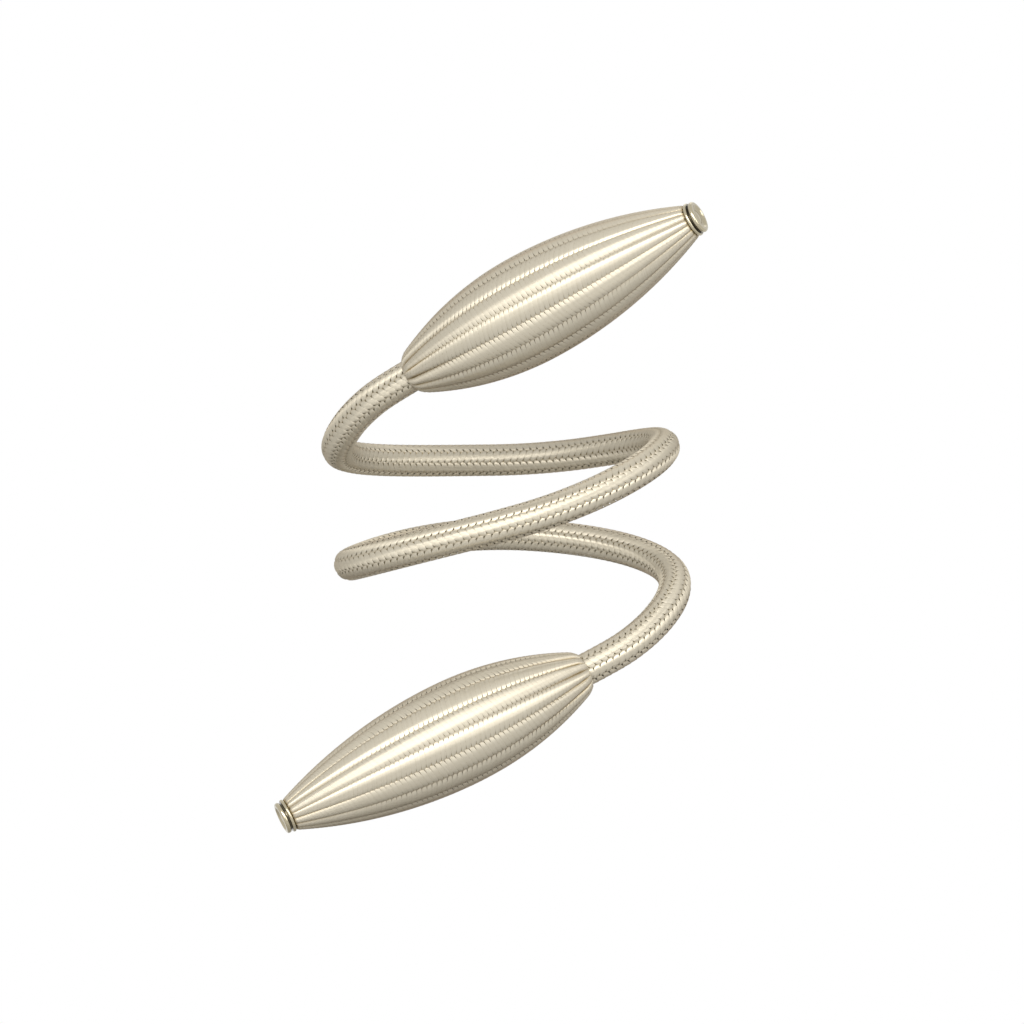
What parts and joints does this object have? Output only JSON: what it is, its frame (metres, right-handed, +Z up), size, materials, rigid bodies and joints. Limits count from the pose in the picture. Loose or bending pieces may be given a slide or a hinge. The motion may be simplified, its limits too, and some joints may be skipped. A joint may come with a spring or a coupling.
{
  "type": "curtain tieback",
  "caption": "Bendable curtain tieback: an ivory braided cord with a wire core, wound round a gathered curtain, with a ribbed thread-covered spindle and a turned metal cap on each end",
  "frame": {"origin": "on the axis of the coil, level with the middle of its height, where the gathered curtain passes through", "axes": "+Z up along the gathered curtain, +X to the right seen from the front, -Y towards the room"},
  "size_m": [0.1159, 0.095, 0.1697],
  "materials": {
    "satin_thread": "braided satin thread",
    "soft_plastic": "extruded",
    "soft_wire": "annealed wire",
    "turned_wood": "turned, unfinished",
    "cap_metal": "polished warm nickel plate"
  },
  "bodies": {
    "root": {"braided_sleeve": "satin_thread", "wire_jacket": "soft_plastic", "core_wire": "soft_wire", "upper_spindle_core": "turned_wood", "lower_spindle_core": "turned_wood", "upper_spindle_cover": "satin_thread", "lower_spindle_cover": "satin_thread", "upper_end_cap": "cap_metal", "lower_end_cap": "cap_metal"}
  },
  "joints": []
}
